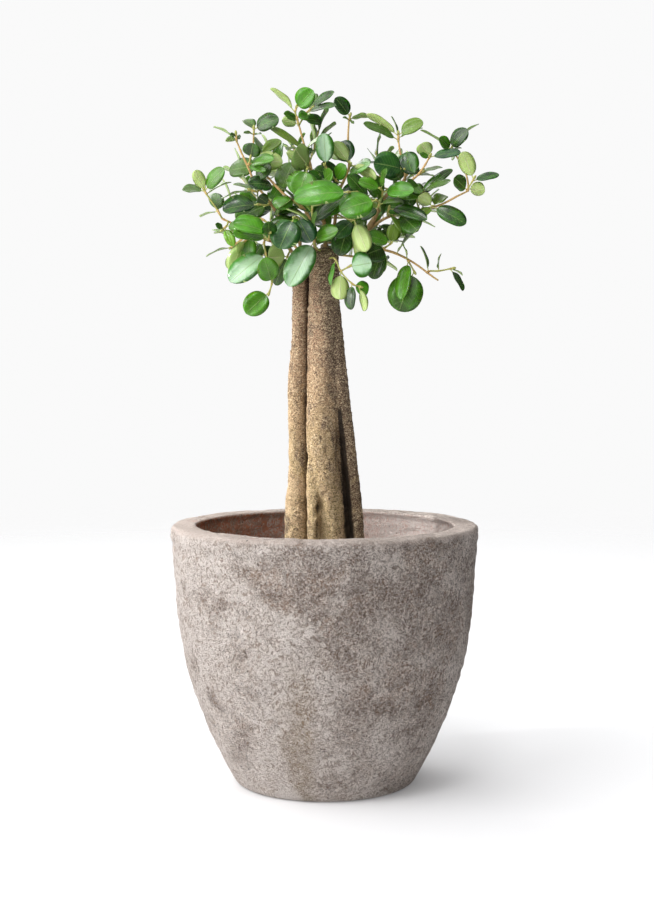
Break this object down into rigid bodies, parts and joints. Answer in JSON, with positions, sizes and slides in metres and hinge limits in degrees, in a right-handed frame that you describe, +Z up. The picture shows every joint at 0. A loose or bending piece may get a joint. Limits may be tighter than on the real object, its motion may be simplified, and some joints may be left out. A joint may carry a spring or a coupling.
{
  "type": "potted ficus tree",
  "caption": "Small-leaved ficus trained as a bonsai-like tree with fused stems and a round leafy crown, rooted in soil in a deep round aged terracotta pot.",
  "frame": {"origin": "centre of the pot's foot, on the surface that it stands on", "axes": "+Z up along the pot's axis; -Y towards the front of the tree, where the small root lies between the left and the middle stem; +X to the right seen from the front"},
  "size_m": [0.3665, 0.347, 0.7792],
  "materials": {
    "terracotta": "matt aged terracotta with a pale lime bloom",
    "soil": "loose dark potting soil",
    "bark": "fine speckled bark",
    "twig": "smooth young bark",
    "leaf": "glossy green upper face, matt pale yellow-green underside"
  },
  "bodies": {
    "root": {"limb_left_long": "twig", "limb_left_low": "twig", "limb_left_mid": "twig", "limb_right_far": "twig", "limb_right_low": "twig", "limb_right_main": "twig", "limb_right_mid": "twig", "limb_right_up": "twig", "limb_top_center": "twig", "limb_top_left": "twig", "pot": "terracotta", "soil": "soil", "spray_back_center": "leaf", "spray_back_high": "leaf", "spray_back_left": "leaf", "spray_back_low": "leaf", "spray_back_right": "leaf", "sprig_center_cross": "leaf", "sprig_center_large": "leaf", "sprig_center_side": "leaf", "sprig_center_top": "leaf", "sprig_front_hang": "leaf", "sprig_front_shoot": "leaf", "sprig_left_arch": "leaf", "sprig_left_bright": "leaf", "sprig_left_bud": "leaf", "sprig_left_center": "leaf", "sprig_left_crown": "leaf", "sprig_left_dark": "leaf", "sprig_left_face": "leaf", "sprig_left_hang": "leaf", "sprig_left_inner": "leaf", "sprig_left_olive": "leaf", "sprig_left_stub": "leaf", "sprig_left_tip": "leaf", "sprig_left_trunk": "leaf", "sprig_left_under": "leaf", "sprig_right_bright": "leaf", "sprig_right_center": "leaf", "sprig_right_dark": "leaf", "sprig_right_face": "leaf", "sprig_right_far_side": "leaf", "sprig_right_far_tip": "leaf", "sprig_right_hang": "leaf", "sprig_right_inner": "leaf", "sprig_right_mid_side": "leaf", "sprig_right_mid_tip": "leaf", "sprig_right_round": "leaf", "sprig_right_tail": "leaf", "sprig_right_top": "leaf", "sprig_right_under": "leaf", "sprig_right_up_tip": "leaf", "sprig_top_left": "leaf", "sprig_top_mid": "leaf", "sprig_top_pair": "leaf", "sprig_top_round": "leaf", "stem_back": "bark", "stem_front": "bark", "stem_left": "bark"}
  },
  "joints": []
}
